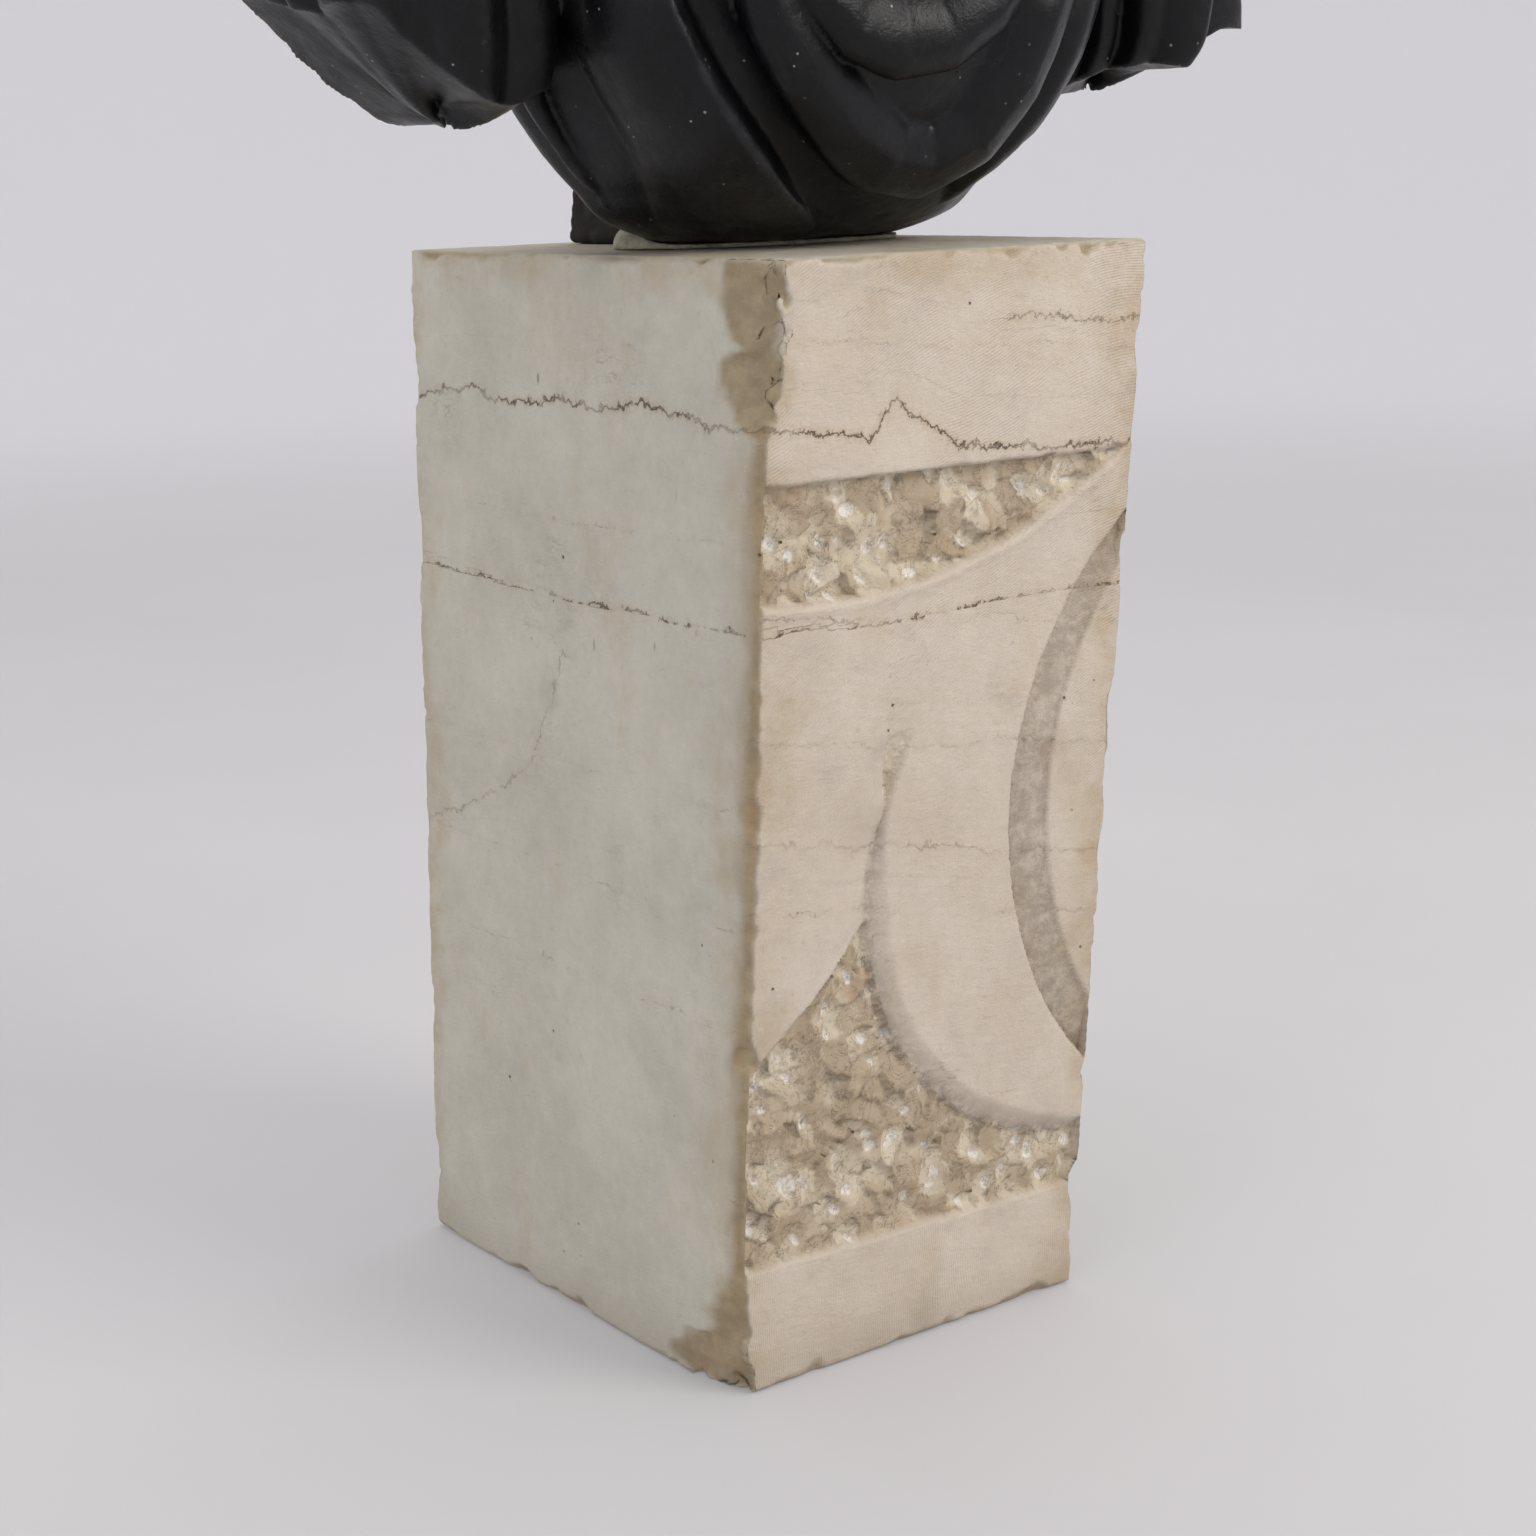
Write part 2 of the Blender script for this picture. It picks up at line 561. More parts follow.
def build_block():
    nx, ny, nz = ((160, 112, 390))
    t, faces = box_shell(nx, ny, nz)
    sx, sy = 2 * t[:, 0] - 1, 2 * t[:, 1] - 1
    h = t[:, 2]
    w, d = block_size(h)
    p = np.stack([
        LEAN[0] * h + (sx * w + sy * SKEW[0]) / 2,
        LEAN[1] * h + (sy * d + sx * SKEW[1]) / 2,
        BLOCK_HEIGHT * h,
    ], axis=1)
    p = settle(lambda q: block_body(q)[0], p, 12.0, 4)
    n = normals(p, faces)
    front = smooth(0.75, 0.95, -n[:, 1])
    front = np.where(t[:, 1] < 0.5, front, 0)
    fresh = np.clip(block_body(p)[1] / 2.0, 0, 1)
    depth, dirt, ground, bruise, facet = relief(p[:, 0], p[:, 2])
    depth = depth * front * smooth(0.8, 0.2, fresh)
    p[:, 1] += depth
    back = smooth(0.7, 0.95, n[:, 1])
    far_side = smooth(0.7, 0.95, n[:, 0])
    top = smooth(0.7, 0.95, n[:, 2])
    plain = 0.30 * fbm(p, 60, 3, 90) + 0.07 * noise(p, 5, 92)
    pick = 1.6 * fbm(p, 16, 3, 94) + 0.5 * noise(p, 5, 95)
    claw = 0.5 * marks(p, 0.4, 3, 40, 97, 6) * smooth(-0.2, 0.3, noise(p, 60, 98))
    push = plain + fresh * 0.35 * fbm(p, 12, 3, 96) + back * pick
    push += (back + far_side * 0.4 + top * 0.25) * claw
    push *= smooth(-1.2, 1.5, p[:, 2])
    p += n * push[:, None]
    p[:, 2] = np.maximum(p[:, 2], 0)
    far = np.where(n[:, 1] < -0.3, 0, 99.0)
    side = np.where(n[:, 0] < -0.3, 0, 99.0)
    vein, weakness = np.full(len(p), 99.0), np.zeros(len(p))
    for across, lines, off in ((p[:, 0], FRONT_VEINS, far), (p[:, 1], SIDE_VEINS, side)):
        for points, weak in lines:
            d = line_distance(across, p[:, 2] + 2.5 * noise(p, 30, 100), points) + off
            nearer = np.abs(d) < np.abs(vein)
            vein = np.where(nearer, d, vein)
            weakness = np.where(nearer, weak, weakness)
    left, right, front_gap, back_gap, top_gap, _ = block_sides(p)
    to_edge = np.where(front > 0.5, np.maximum(left, right), np.maximum(front_gap, back_gap))
    to_edge = -np.maximum(to_edge, top_gap) + 15 * noise(p, 26, 106) + 6 * noise(p, 8, 107)
    near_edge = smooth(16, 3, -front_gap + 5 * noise(p, 14, 103)) * (np.abs(left) < 6) * (n[:, 0] < -0.5)
    values = {
        "dirt": dirt * front,
        "ground": ground * front,
        "bruise": bruise * front,
        "fresh": fresh,
        "vein": vein,
        "weak": weakness,
        "near_edge": near_edge,
        "rasp": np.hypot(p[:, 0] - 250, p[:, 2] - 40) + 5 * noise(p, 60, 104) + 1.2 * noise(p, 17, 105),
        "front": front,
        "facet": facet,
        "stain": smooth(30, 0, to_edge),
    }
    return mesh_object("plinth_block_look", p, faces, "plinth", values)


# ------------------------------------------------------------------ the torso

Z_TRUNK = [0, 10, 29, 57, 87, 137, 197, 257, 307, 340, 366, 388, 402]
SIDE = table(Z_TRUNK, [76, 106, 130, 154, 171, 184, 192, 200, 202, 184, 142, 102, 88])
FRONT = table(Z_TRUNK, [30, 64, 96, 122, 139, 147, 141, 129, 114, 101, 90, 81, 75])
BACK = table(Z_TRUNK, [20, 30, 40, 52, 60, 70, 82, 94, 100, 98, 92, 86, 80])
# Each mantle over an upper arm: height, centre, half-width and half-depth.
SHOULDER = [
    (205, 222, 73, 84), (262, 206, 66, 80), (312, 184, 55, 72), (346, 158, 34, 54), (370, 134, 6, 16),
]
MANTLE_FOOT = {
    -1: [(60, 198, 30, 50), (76, 204, 43, 60), (95, 210, 53, 70), (114, 215, 61, 77), (150, 221, 71, 83)],
    1: [(76, 230, 46, 66), (92, 236, 57, 75), (114, 236, 62, 80), (150, 230, 68, 83)],
}


def mantle_shape(side):
    """The mantle's foot and top, and its centre, half-width and half-depth as curves over the height."""
    rows = np.array(MANTLE_FOOT[side] + SHOULDER, float)
    return rows[0, 0], rows[-1, 0], [table(rows[:, 0], rows[:, k]) for k in (1, 2, 3)]


MANTLES = {side: mantle_shape(side) for side in (-1, 1)}
MANTLE_Y = 4.0


def oval(x, y, a, b):
    q = np.sqrt((x / a) ** 2 + (y / b) ** 2) + 1e-9
    return q * (q - 1) / (np.hypot(x / a**2, y / b**2) + 1e-9)


def trunk(x, y, z):
    """The smooth chest and back under the folds."""
    z = np.clip(z, 0, COLLAR)
    return oval(x, y, SIDE(z), np.where(y < 0, FRONT(z), BACK(z)))


def on_chest(points):
    """Puts front-view points on the chest."""
    return spline([
        (x, -float(FRONT(z)) * math.sqrt(max(0.02, 1 - (x / float(SIDE(z))) ** 2)), z) for x, z in points
    ])


# Folds on the front: points across and up, widths, heights, and how much gentler the inner flank is.
CHEST_FOLDS = [
    ([(-112, 368), (-146, 320), (-166, 250), (-170, 170), (-158, 116), (-147, 89), (-122, 52), (-76, 6)],
     [13, 17, 19, 19, 14], [0, 10, 17, 15, 9], 0.8),
    ([(-100, 374), (-128, 328), (-143, 250), (-146, 170), (-137, 115), (-118, 79), (-83, 41), (-14, 2)],
     [12, 18, 22, 26, 28, 17], [0, 12, 20, 28, 28, 14], 0.5),
    ([(-76, 378), (-92, 330), (-104, 250), (-108, 170), (-102, 116), (-84, 84), (-58, 58), (-28, 38),
      (10, 27), (39, 36), (60, 64), (78, 112), (104, 175), (130, 240), (146, 310), (122, 366)],
     [10, 14, 16, 20, 24, 24, 20, 14], [0, 10, 15, 22, 24, 19, 14, 0], 1.45),
    ([(-64, 380), (-76, 330), (-84, 260), (-90, 180), (-84, 126), (-64, 98), (-30, 83), (4, 88), (36, 112),
      (64, 160), (92, 228), (118, 310), (102, 374)], [9, 13, 17, 20, 17, 12], [0, 9, 14, 20, 15, 0], 1.9),
    ([(-52, 384), (-58, 336), (-62, 276), (-64, 216), (-52, 168), (-26, 144), (4, 154), (32, 196), (62, 256),
      (90, 326), (84, 380)], [8, 12, 18, 20, 16, 10], [0, 9, 14, 15, 12, 0], 1.7),
    (
        [(-60, 300), (-56, 244), (-34, 206), (-4, 202), (26, 236), (50, 286), (70, 340), (66, 384)],
        [9, 14, 17, 14, 8], [2, 9, 12, 9, 0], 1.6,
    ),
    ([(-186, 262), (-140, 258), (-96, 248), (-50, 244), (-8, 258), (22, 292), (42, 334), (50, 386)],
     [18, 26, 30, 28, 14], [0, 12, 20, 18, 0], 1.2),
    (
        [(-176, 286), (-130, 286), (-88, 276), (-46, 270), (-14, 284), (10, 312), (30, 344)],
        [10, 13, 13, 8], [0, 9, 12, 6], 0.8,
    ),
    (
        [(134, 364), (164, 322), (158, 270), (136, 190), (112, 112), (92, 58), (64, 24)],
        [12, 18, 22, 22, 14], [0, 10, 14, 15, 8], 1.4,
    ),
    (
        [(150, 352), (182, 312), (184, 250), (166, 180), (148, 110), (124, 52)], [12, 18, 20, 20, 14],
        [0, 10, 15, 14, 8], 0.75,
    ),
    ([(-184, 180), (-182, 120), (-164, 66), (-124, 16)], [12, 18, 14], [6, 12, 8], 0.7),
    ([(-46, 108), (-12, 104), (18, 120)], [8, 10, 7], [2, 4, 2], 1.3),
    ([(-30, 180), (-6, 176), (16, 196)], [7, 9, 6], [2, 4, 2], 1.3),
]
CHEST_FOLDS = [(on_chest(points), w, h, skew) for points, w, h, skew in CHEST_FOLDS]
# Deep hollows beside the two steepest folds.
CHEST_HOLLOWS = [
    ([(-110, 320), (-125, 250), (-128, 170), (-121, 115), (-102, 80), (-70, 47), (-26, 19), (18, 9)],
     [8, 11, 12, 13, 9], [2, 10, 15, 14, 5]),
    (
        [(-136, 330), (-156, 250), (-159, 170), (-148, 116), (-132, 82), (-98, 42)], [7, 10, 11, 8],
        [2, 8, 10, 5],
    ),
]
CHEST_HOLLOWS = [(on_chest(points), w, h, 1.0) for points, w, h in CHEST_HOLLOWS]


def tunic_folds():
    """The small gathers of the tunic under the neck."""
    out = []
    for k in range(11):
        x = -62 + 12.5 * k
        drop = 42 + 26 * math.cos(x / 50) + 9 * math.sin(3.1 * k)
        top = 385 - 26 * math.cos(min(1.5, abs(x) / 58))
        line = [(x, top), (x * 0.96 + 2 * math.sin(k), top - drop * 0.5), (x * 0.9, top - drop)]
        out.append((on_chest(line), [5.5, 6.5, 4], [2.5, 4.2, 1.5], 1.0))
    return out


def neckline():
    """The rolled edge of the tunic, from one side of the neck round to the other."""
    half = 84
    shares = [x / half for x in np.linspace(1 - half, half - 1, 15)]
    return spline([(s * half, 2 - half * math.sqrt(1 - s**2), 372 + 26 * abs(s) ** 1.5) for s in shares])


CHEST_FOLDS += tunic_folds()
CHEST_FOLDS.append((neckline(), [6, 7, 6], [4, 5, 4], 1.0))


def on_back(points):
    """Puts back-view points on the upper back."""
    return spline([(x, float(BACK(z)) * math.sqrt(1 - (x / float(SIDE(z))) ** 2), z) for x, z in points])


BACK_FOLDS = [
    on_back([(-176, 318), (-90, 324), (0, 318), (90, 330), (168, 326)]),
    on_back([(-150, 344), (-80, 346), (-10, 338), (60, 350), (130, 356)]),
    on_back([(-112, 370), (-50, 366), (0, 358), (46, 368), (96, 378)]),
]


def mantle_lines(side):
    """Angles, widths, heights, leans and lopsidedness of the upright folds round one mantle."""
    gen = np.random.default_rng(20 + side)
    lines = []
    at = 0.0
    while at < 360:
        wide = gen.uniform(18, 30) if gen.random() < 0.5 else gen.uniform(30, 46)
        height = wide * gen.uniform(0.38, 0.52)
        lines.append((at + wide / 2, wide * 0.56, height, gen.uniform(-20, 20), gen.uniform(0.65, 1.5)))
        at += wide
    return lines


MANTLE_FOLDS = {side: mantle_lines(side) for side in (-1, 1)}


def mantle(p, side):
    foot, top, (centre, half, deep) = MANTLES[side]
    z = np.clip(p[:, 2], foot, top)
    x = p[:, 0] - side * centre(z)
    y = p[:, 1] - MANTLE_Y
    f = oval(x, y, half(z), deep(z))
    angle = np.degrees(np.arctan2(y, x * side))
    fold = np.zeros(len(p))
    sway = 7 * np.sin(z / 46 + side) + 4 * noise(p, 70, 130)
    for at, width, height, lean, skew in MANTLE_FOLDS[side]:
        away = (angle - at - lean * (z - 200) / 150 + sway + 180) % 360 - 180
        span = width * skew ** np.clip(away / (0.25 * width), -1, 1)
        swell = 1 + 0.25 * np.sin(z / 38 + at)
        fold = np.maximum(fold, swell * height * (1 - np.minimum(np.abs(away) / span, 1) ** 1.5))
    fade = smooth(352, 250, z) * (0.5 + 0.5 * smooth(60, 150, z + 40))
    f = f + 8 - fold * fade
    # The hem waves, and the cloth is hollow above it.
    hem = foot + 9 + 6 * np.sin(np.radians(angle) * 3 + side) - 0.2 * fold
    if side > 0:
        hem = hem + 32 * smooth(0, 55, x) - 4 * smooth(20, -40, x)
    else:
        hem = hem + 52 * smooth(0, 60, -x) ** 1.1 + 18 * smooth(4, 40, x)
    f = np.maximum(f, hem - p[:, 2])
    hollow = np.maximum(f + 12, p[:, 2] - hem - 34)
    hollow = np.maximum(hollow, oval(x, y, half(z) - 24, deep(z) - 26))
    f = cut(f, hollow, 3)
    return np.maximum(f, p[:, 2] - top)


def drapery(p):
    """Heights of the folds on the chest, and of those on the back."""
    folds = np.zeros(len(p))
    for points, widths, heights, skew in CHEST_FOLDS:
        folds = np.maximum(folds, ridge_height(p, points, widths, heights, skew, power=1.6))
    for points, widths, heights, skew in CHEST_HOLLOWS:
        folds = folds - ridge_height(p, points, widths, heights, skew, power=2.0)
    gathers = np.zeros(len(p))
    for points in BACK_FOLDS:
        gathers = np.maximum(gathers, ridge_height(p, points, [12, 17, 12], [2, 8, 2], 1.3, (0, 1, 0)))
    return folds, gathers


def torso_field(p):
    x, y, z = p[:, 0], p[:, 1], p[:, 2]
    ahead = smooth(25, -25, y)
    low = smooth(-1, 26, z)
    folds, gathers = drapery(p)
    body = trunk(x, y, z) + 8 * ahead * low - 1.15 * folds * ahead * (0.35 + 0.65 * low)
    body = body - gathers * (1 - ahead)
    body = body + 1.6 * fbm(p, 45, 2, 140) * smooth(0, 40, z)
    body = rounded([body, -z], 5.0)
    blend = 7 + 16 * smooth(280, 350, z)
    f = join(body, mantle(p, -1), blend)
    f = join(f, mantle(p, 1), blend)
    top = z - COLLAR + 1.5 * noise(p, 20, 141)
    f = np.maximum(f, top)
    plaster_gap = 3.6
    socket = np.hypot(x, y - NECK_Y) - (TENON_FOOT + plaster_gap + (z - COLLAR + TENON_DEPTH) * TENON_FLARE)
    f = np.maximum(f, -np.maximum(socket, COLLAR - TENON_DEPTH - 4 - z))
    f = cut(f, ell(p, SCOOP, SCOOP_HALF) + 1.8 * fbm(p, 20, 2, 142), 6)
    bore = np.hypot(x, y - DOWEL_Y) - BORE
    return np.maximum(f, -np.maximum(bore, z - DOWEL_TOP - 1))


def build_torso():
    voxel = 2.2
    verts, faces = sculpt(torso_field, (-312, -160, -6), (312, 112, 412), voxel)
    n = normals(verts, faces)
    behind = smooth(20, 70, verts[:, 1]) * smooth(-0.2, 0.4, n[:, 1])
    tool = marks(verts, 0.5, 4, 30, 150, 7)
    push = 0.18 * fbm(verts, 9, 3, 151) + behind * (0.35 * tool + 1.1 * fbm(verts, 12, 3, 152))
    push *= smooth(0, 6, verts[:, 2])
    verts = verts + n * push[:, None]
    verts[:, 2] = np.maximum(verts[:, 2], 0)
    values = {"bulge": bulge(verts, faces, 10), "behind": behind}
    return mesh_object("torso_look", verts + BUST, faces, "bust", values)


# ------------------------------------------------------------------ the head, a plain ideal face

EYE_LINE = 562.0
HEAD_Y = -12.0
HEAD_TURN = -12.0
GROW = 1.035


def hair_locks():
    """Short locks that fall from the crown in rows, each with a curling tip."""
    gen = np.random.default_rng(5)
    locks = []
    rows = 9
    for row in range(rows):
        polar = math.radians(10 + row * 14.5)
        count = max(5, int(30 * math.sin(polar)))
        for k in range(count):
            around = (k + 0.5 * (row % 2) + gen.uniform(-0.15, 0.15)) / count * 2 * math.pi
            curl = gen.choice([-1, 1]) if gen.random() < 0.4 else (1 if math.sin(around) > 0 else -1)
            line = []
            length, sweep = gen.uniform(20, 30), gen.uniform(0.18, 0.5)
            for s in np.linspace(0, 1, 7):
                a = polar + math.radians(length) * s
                b = around + curl * sweep * s**1.7 / max(0.35, math.sin(a))
                a -= math.radians(6) * max(0, s - 0.6) * 2.2
                line.append((math.sin(a) * math.sin(b), -math.sin(a) * math.cos(b), math.cos(a)))
            locks.append((np.array(line), gen.uniform(0.75, 1.3)))
    return locks


SKULL = np.array([80.0, 100.0, 88.0])
SKULL_CENTRE = np.array([0.0, 10.0, 30.0])
LOCKS = [(line * SKULL + SKULL_CENTRE, size) for line, size in hair_locks()]


def hairline(p):
    """Below 0 where the hair grows: behind the brow and temples, and above the nape."""
    x, y, z = p[:, 0], p[:, 1], p[:, 2]
    above_brow = 56 - 0.0075 * x**2 - z
    behind_temple = (-y - 26) + 0.35 * (z - 20)
    ahead = np.minimum(behind_temple, above_brow)
    below_ear = (-z - 26) - np.maximum(0, (y - 22)) * 1.4
    return np.maximum(np.maximum(ahead, below_ear), -z - 78)


# Forms of the skull and jaw, those off the middle in pairs: centre, half-sizes, tilt, softness of the join.
HEAD_FORMS = [
    ((0, -36, 12), (60, 54, 74), 0, 16),  # brow and temples
    ((0, -40, -58), (49, 50, 52), 0, 18),  # lower face
    ((36, -22, -62), (20, 34, 30), 24, 16),  # corners of the jaw
    ((0, 4, -18), (68, 78, 52), 0, 20),  # base of the skull
    ((0, -60, -86), (33, 29, 22), 0, 16),  # below the mouth
    ((0, -78, -100), (19, 15, 13), 0, 13),  # chin
    ((41, -56, -22), (20, 17, 17), 0, 18),  # cheekbones
]
EYE = (31.5, -71.5, -2.0)
EYE_HALF = 16.5
MOUTH = -73.0


def skull(m):
    f = ell(m, (0, 10, 30), (76, 96, 84))
    for centre, half, tilt, soft in HEAD_FORMS:
        f = join(f, ell(m, centre, half, turned(x=tilt) if tilt else None), soft)
    f = join(f, capsule(m, (10, -87, 17), (42, -74, 19), 8.0, 6.0), 11)
    return join(f, ell(m, (0, -66, 34), (46, 27, 34)), 16)


def eyes(f, m):
    """Sockets, eyeballs, and lids with a crease above them."""
    y, z = m[:, 1], m[:, 2]
    f = cut(f, ell(m, (31, -102, -2), (21, 18, 13.5)), 9)
    f = cut(f, ell(m, (15, -98, -3), (8, 12, 11)), 7)
    ball = np.linalg.norm(m - np.array(EYE), axis=1)
    u = (m[:, 0] - EYE[0]) / EYE_HALF
    upper = EYE[2] + 6.4 * (1 - u**2) - z
    under = z - EYE[2] + 4.8 * (1 - u**2)
    lid = np.maximum(ball - 18.2, np.minimum(upper, under) - 0.2)
    f = join(f, lid, 2.0)
    f = np.minimum(f, ball - 15.8)
    crease = np.abs(z - (EYE[2] + 10.8 * (1 - (u * 0.9) ** 2)))
    return f + 1.4 * np.exp(-(crease / 1.6) ** 2) * smooth(1.1, 0.8, np.abs(u)) * smooth(-66, -76, y)


def nose(f, m):
    form = capsule(m, (0, -88, 12), (0, -106, -36), 8.0, 9.0)
    form = join(form, capsule(m, (0, -80, 8), (0, -92, -38), 8.5, 10.5), 6)
    form = join(form, ell(m, (0, -109, -41), (10.4, 10, 9)), 5)
    form = join(form, ell(m, (12.5, -98.5, -43), (7.8, 11, 7.8)), 5)
    f = join(f, form, 8)
    return cut(f, ell(m, (7.4, -103, -51.5), (3.6, 6.0, 3.4)), 1.8)


def mouth(f, m):
    """Lips, the line between them, the hollow under them and the groove above them."""
    ax, y, z = m.T
    f = join(f, ell(m, (0, -84.5, -66), (27, 16, 17)), 11)
    f = join(f, capsule(m, (3.5, -97.2, -68), (24, -88.5, -72.5), 4.4, 2.4), 3.4)
    f = join(f, ell(m, (0, -94, -78.8), (20, 7.0, 5.8)), 4)
    parting = z - (MOUTH + 1.6 * np.exp(-(ax / 6) ** 2) * -1 + 1.4 * np.exp(-((ax - 9) / 6) ** 2))
    f = f + 2.4 * np.exp(-(parting / 1.2) ** 2) * smooth(30, 24, ax) * smooth(-78, -90, y)
    f = f + 1.8 * np.exp(-((z + 89) / 4.5) ** 2) * np.exp(-(ax / 17) ** 2) * smooth(-70, -85, y)
    groove = np.exp(-(ax / 3.0) ** 2) * smooth(-64, -61, z) * smooth(-52, -57, z)
    return f + 1.1 * groove * smooth(-80, -92, y)


def ears(f, m):
    lean = turned(x=-14, z=24)
    ear = ell(m, (71, 12, -16), (7, 17, 29), lean)
    ear = join(ear, ell(m, (66, 3, -37), (6, 9, 10)), 6)
    bowl = ell(m, (78, 5, -17), (6.5, 9.5, 15), lean)
    rim = ell(m, (78, 9, -5), (5.5, 12, 15), lean)
    ear = cut(ear, join(bowl, rim, 3), 2.5)
    ear = join(ear, ell(m, (71, -4, -22), (4.5, 3.5, 6)), 3)
    f = join(f, ell(m, (62, 10, -18), (12, 13, 24)), 8)
    return join(f, ear, 4)


def throat(f, m):
    """The neck with its two long muscles and the notch between them."""
    neck = capsule(m, (0, 12, -30), (0, 16, -150), 46, 51)
    neck = join(neck, capsule(m, (14, 30, -50), (24, 34, -160), 38, 44), 18)
    neck = join(neck, capsule(m, (52, 14, -50), (12, -34, -150), 10, 10.5), 9)
    neck = join(neck, ell(m, (0, -34, -112), (11, 9, 15)), 12)
    return join(f, neck, 9)


def hair(f, p):
    cap = ell(p, SKULL_CENTRE, SKULL - 2)
    locks = np.full(len(p), -1.5)
    for line, size in LOCKS:
        outward = line[3] - SKULL_CENTRE
        widths, heights = [9 * size, 10 * size, 7 * size, 2.5], [5, 8.5 * size, 9, 4]
        locks = np.maximum(locks, ridge_height(p, line, widths, heights, 1.25, outward, 1.7, 0.24))
    cap = cap - locks - 0.3 * noise(p, 5, 160)
    cap = np.maximum(cap, hairline(p) - 2.0 * noise(p, 9, 161) - 2)
    return join(f, cap, 2.0)


def head_field(q):
    """The head about a point between the ears at the height of the eyes, before it is turned."""
    p = q / GROW
    m = p.copy()
    m[:, 0] = np.abs(m[:, 0])
    f = skull(m)
    for part in (eyes, nose, mouth, ears, throat):
        f = part(f, m)
    return hair(f, p) * GROW


def place_head(v):
    """From the head's own frame to the bust's."""
    c, s = math.cos(math.radians(HEAD_TURN)), math.sin(math.radians(HEAD_TURN))
    w = v + np.array([0, HEAD_Y - NECK_Y, 0])
    w = np.stack([c * w[:, 0] - s * w[:, 1], s * w[:, 0] + c * w[:, 1], w[:, 2]], axis=1)
    return w + np.array([0, NECK_Y, EYE_LINE])


def head_with_tenon(q):
    """The head, its neck's flared foot, and the tenon that goes down into the torso."""
    f = head_field(q)
    z = q[:, 2] + EYE_LINE
    around = np.hypot(q[:, 0], q[:, 1] + HEAD_Y - NECK_Y)
    flare = np.clip(1 - (z - COLLAR) / 40, 0, 1)
    foot = np.maximum(around - (46 + 21 * flare**2), z - COLLAR - 56)
    f = join(f, foot, 20)
    f = np.maximum(f, COLLAR + 0.5 - z)
    tenon = around - (TENON_FOOT + (z - COLLAR + TENON_DEPTH) * TENON_FLARE)
    tenon = np.maximum(tenon, COLLAR - TENON_DEPTH - z)
    tenon = np.maximum(tenon, z - COLLAR - 3)
    return join(f, tenon, 2.0)


def build_head():
    voxel = 1.3
    verts, faces = sculpt(head_with_tenon, (-102, -128, -230), (102, 122, 128), voxel)
    n = normals(verts, faces)
    verts = verts + n * (0.10 * fbm(verts, 7, 3, 170))[:, None]
    values = {"bulge": bulge(verts, faces, 8), "behind": np.zeros(len(verts))}
    return mesh_object("head_look", place_head(verts) + BUST, faces, "bust", values)


# ------------------------------------------------------------------ small pieces

# Turned pieces stop this far off their axis.
CORE = 0.4


def taper(ends, z):
    """A size of the pillar at a height, from its sizes at the foot and the top."""
    return ends[0] - (ends[0] - ends[1]) * z / PILLAR_HEIGHT


def tube(name, profile, body, centre, turn=None, segments=72, rough=0.2, seed=0):
    """A turned piece from a closed profile of (radius, height), with an uneven skin."""
    profile = np.array(profile, float)
    fine = []
    for a, b in zip(profile, np.roll(profile, -1, axis=0)):
        steps = max(1, int(np.linalg.norm(b - a) / 2.5))
        fine += [a + (b - a) * k / steps for k in range(steps)]
    fine = np.array(fine)
    rows = len(fine)
    angle = np.arange(segments) / segments * 2 * np.pi
    verts = np.stack([
        np.outer(np.cos(angle), fine[:, 0]),
        np.outer(np.sin(angle), fine[:, 0]),
        np.outer(np.ones(segments), fine[:, 1]),
    ], axis=-1).reshape(-1, 3)
    i, j = np.meshgrid(np.arange(segments), np.arange(rows), indexing="ij")
    i2, j2 = (i + 1) % segments, (j + 1) % rows
    faces = np.stack([i * rows + j, i2 * rows + j, i2 * rows + j2, i * rows + j2], axis=-1).reshape(-1, 4)
    n = normals(verts, faces)
    verts = verts + n * (rough * (fbm(verts + seed * 31.7, 6.0, 3, seed) - 0.5))[:, None]
    if turn is not None:
        verts = verts @ turn.T
    return mesh_object(name, verts + np.array(centre), faces, body, {"bulge": bulge(verts, faces, 3)})


def rod(radius, low, high, foot, tip):
    """A bar's profile. The bevels at its foot and tip are given as width and height."""
    return [
        (CORE, low), (radius - foot[0], low), (radius, low + foot[1]),
        (radius, high - tip[1]), (radius - tip[0], high), (CORE, high),
    ]


def dowel_profiles():
    """The dowel under the bust and the lead run in round its foot."""
    low, high = BLOCK_HEIGHT - 85, BUST[2] + DOWEL_TOP
    sleeve, top, thick = low - 6, BLOCK_HEIGHT - 0.4, 3
    inner, outer = 11.7, 15.5
    lead = [
        (CORE, sleeve), (outer, sleeve), (outer, top - 1), (outer - 0.9, top), (inner + 0.9, top),
        (inner, top - 1), (inner, sleeve + thick), (CORE, sleeve + thick),
    ]
    return rod(10.9, low, high, (1.7, 3), (2.3, 4)), lead


def setting_profile(low):
    """The plaster round the neck's tenon: a floor with a hole for the dowel, and a flared wall."""
    hole, floor, wall, high = 16, 3.5, 2.7, 62
    flare = 58 * TENON_FLARE
    return [
        (hole, low + 0.5), (TENON_FOOT, low + 0.5), (TENON_FOOT - 0.1 + wall + flare, low + high),
        (TENON_FOOT - 0.1 + flare, low + high), (TENON_FOOT + 0.2, low + floor), (hole, low + floor),
    ]


